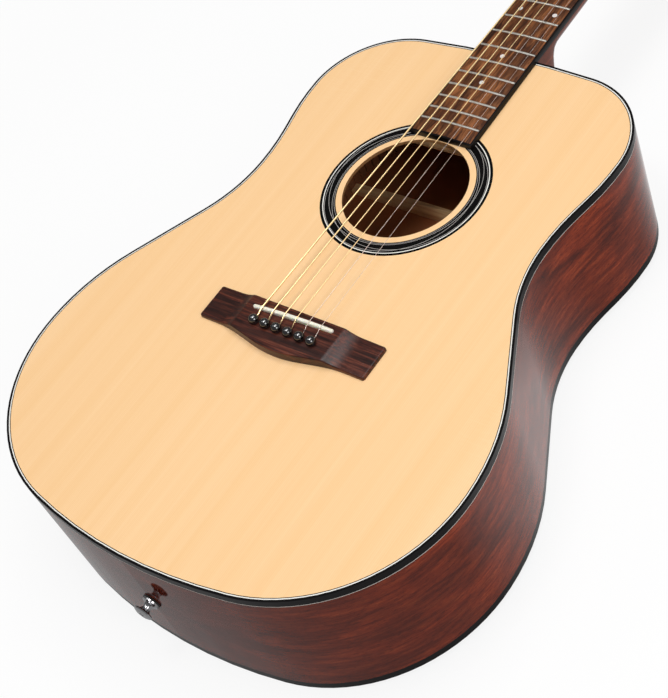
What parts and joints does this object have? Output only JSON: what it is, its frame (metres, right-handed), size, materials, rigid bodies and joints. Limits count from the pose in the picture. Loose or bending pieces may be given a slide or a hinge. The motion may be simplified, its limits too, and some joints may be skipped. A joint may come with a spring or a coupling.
{
  "type": "acoustic guitar",
  "caption": "Steel-string flat-top acoustic guitar with a round soundhole, glued pin bridge, fretted neck, braced hollow body and worm-geared tuners that turn.",
  "frame": {"origin": "centre of the soundhole on the outer face of the soundboard", "axes": "+Z out of the soundboard, +Y along the neck towards the headstock, +X towards the treble strings"},
  "size_m": [0.395, 1.058, 0.1379],
  "materials": {
    "spruce_top": "gloss lacquer over straight-grained spruce",
    "mahogany": "gloss lacquer over ribbon-striped reddish brown wood",
    "black_binding": "gloss black plastic",
    "white_lines": "white plastic under lacquer",
    "lining_wood": "unfinished pale wood",
    "block_wood": "unfinished reddish wood",
    "brace_spruce": "unfinished spruce",
    "rosewood": "satin open-pored dark wood",
    "bone": "polished ivory-coloured plastic",
    "black_pins": "gloss black plastic",
    "rod_steel": "plain steel",
    "fret_metal": "polished nickel alloy",
    "pearl": "pearly plastic",
    "bronze_strings": "bronze winding",
    "plain_steel": "plain steel wire",
    "ball_brass": "plain brass",
    "tuner_chrome": "polished",
    "felt_washer": "black felt"
  },
  "bodies": {
    "guitar": {"soundboard": "spruce_top", "back": "mahogany", "bass_side": "mahogany", "treble_side": "mahogany", "top_binding": "black_binding", "back_binding": "black_binding", "purfling_white": "white_lines", "purfling_black": "black_binding", "rosette_band": "black_binding", "rosette_lines": "white_lines", "top_linings": "lining_wood", "back_linings": "lining_wood", "neck_block": "block_wood", "tail_block": "block_wood", "x_brace_bass": "brace_spruce", "x_brace_treble": "brace_spruce", "upper_brace": "brace_spruce", "small_braces": "brace_spruce", "bridge_plate": "block_wood", "back_braces": "brace_spruce", "back_strip": "brace_spruce", "bridge": "rosewood", "saddle": "bone", "bridge_pins": "black_pins", "neck": "mahogany", "heel_cap": "black_binding", "truss_rod": "rod_steel", "fingerboard": "rosewood", "board_binding": "black_binding", "frets": "fret_metal", "position_dots": "pearl", "nut": "bone", "headstock_veneer": "rosewood", "wound_strings": "bronze_strings", "plain_strings": "plain_steel", "string_balls": "ball_brass", "tuner_housings": "tuner_chrome", "tuner_bushings": "tuner_chrome", "tuner_screws": "tuner_chrome", "strap_button": "tuner_chrome", "strap_washer": "felt_washer", "strap_screw": "tuner_chrome"},
    "post_1": {"tuner_post_1": "tuner_chrome"},
    "button_1": {"tuner_button_1": "tuner_chrome"},
    "post_2": {"tuner_post_2": "tuner_chrome"},
    "button_2": {"tuner_button_2": "tuner_chrome"},
    "post_3": {"tuner_post_3": "tuner_chrome"},
    "button_3": {"tuner_button_3": "tuner_chrome"},
    "post_4": {"tuner_post_4": "tuner_chrome"},
    "button_4": {"tuner_button_4": "tuner_chrome"},
    "post_5": {"tuner_post_5": "tuner_chrome"},
    "button_5": {"tuner_button_5": "tuner_chrome"},
    "post_6": {"tuner_post_6": "tuner_chrome"},
    "button_6": {"tuner_button_6": "tuner_chrome"},
    "rod_nut": {"truss_rod_nut": "rod_steel"}
  },
  "joints": [
    {"name": "button_1_turn", "type": "hinge", "parent": "guitar", "child": "button_1", "pos_m": [0.033, 0.55885, -0.02872], "axis": [1, 0, 0], "continuous": true},
    {"name": "post_1_turn", "type": "hinge", "parent": "guitar", "child": "post_1", "pos_m": [0.021, 0.55745, -0.00766], "axis": [0, 0.2419, 0.9703], "continuous": true},
    {"name": "button_2_turn", "type": "hinge", "parent": "guitar", "child": "button_2", "pos_m": [0.033, 0.5996, -0.03889], "axis": [1, 0, 0], "continuous": true},
    {"name": "post_2_turn", "type": "hinge", "parent": "guitar", "child": "post_2", "pos_m": [0.021, 0.5982, -0.01782], "axis": [0, 0.2419, 0.9703], "continuous": true},
    {"name": "button_3_turn", "type": "hinge", "parent": "guitar", "child": "button_3", "pos_m": [0.033, 0.64035, -0.04905], "axis": [1, 0, 0], "continuous": true},
    {"name": "post_3_turn", "type": "hinge", "parent": "guitar", "child": "post_3", "pos_m": [0.021, 0.63896, -0.02798], "axis": [0, 0.2419, 0.9703], "continuous": true},
    {"name": "button_4_turn", "type": "hinge", "parent": "guitar", "child": "button_4", "pos_m": [-0.033, 0.55885, -0.02872], "axis": [-1, 0, 0], "continuous": true},
    {"name": "post_4_turn", "type": "hinge", "parent": "guitar", "child": "post_4", "pos_m": [-0.021, 0.55745, -0.00766], "axis": [0, 0.2419, 0.9703], "continuous": true},
    {"name": "button_5_turn", "type": "hinge", "parent": "guitar", "child": "button_5", "pos_m": [-0.033, 0.5996, -0.03889], "axis": [-1, 0, 0], "continuous": true},
    {"name": "post_5_turn", "type": "hinge", "parent": "guitar", "child": "post_5", "pos_m": [-0.021, 0.5982, -0.01782], "axis": [0, 0.2419, 0.9703], "continuous": true},
    {"name": "button_6_turn", "type": "hinge", "parent": "guitar", "child": "button_6", "pos_m": [-0.033, 0.64035, -0.04905], "axis": [-1, 0, 0], "continuous": true},
    {"name": "post_6_turn", "type": "hinge", "parent": "guitar", "child": "post_6", "pos_m": [-0.021, 0.63896, -0.02798], "axis": [0, 0.2419, 0.9703], "continuous": true},
    {"name": "rod_nut_turn", "type": "hinge", "parent": "guitar", "child": "rod_nut", "pos_m": [0, 0.0954, -0.0076], "axis": [0, 1, 0], "range_deg": [-180, 180]}
  ],
  "couplings": [
    {"joint": "post_1_turn", "follows": "button_1_turn", "ratio": 0.071429},
    {"joint": "post_2_turn", "follows": "button_2_turn", "ratio": 0.071429},
    {"joint": "post_3_turn", "follows": "button_3_turn", "ratio": 0.071429},
    {"joint": "post_4_turn", "follows": "button_4_turn", "ratio": 0.071429},
    {"joint": "post_5_turn", "follows": "button_5_turn", "ratio": 0.071429},
    {"joint": "post_6_turn", "follows": "button_6_turn", "ratio": 0.071429}
  ]
}
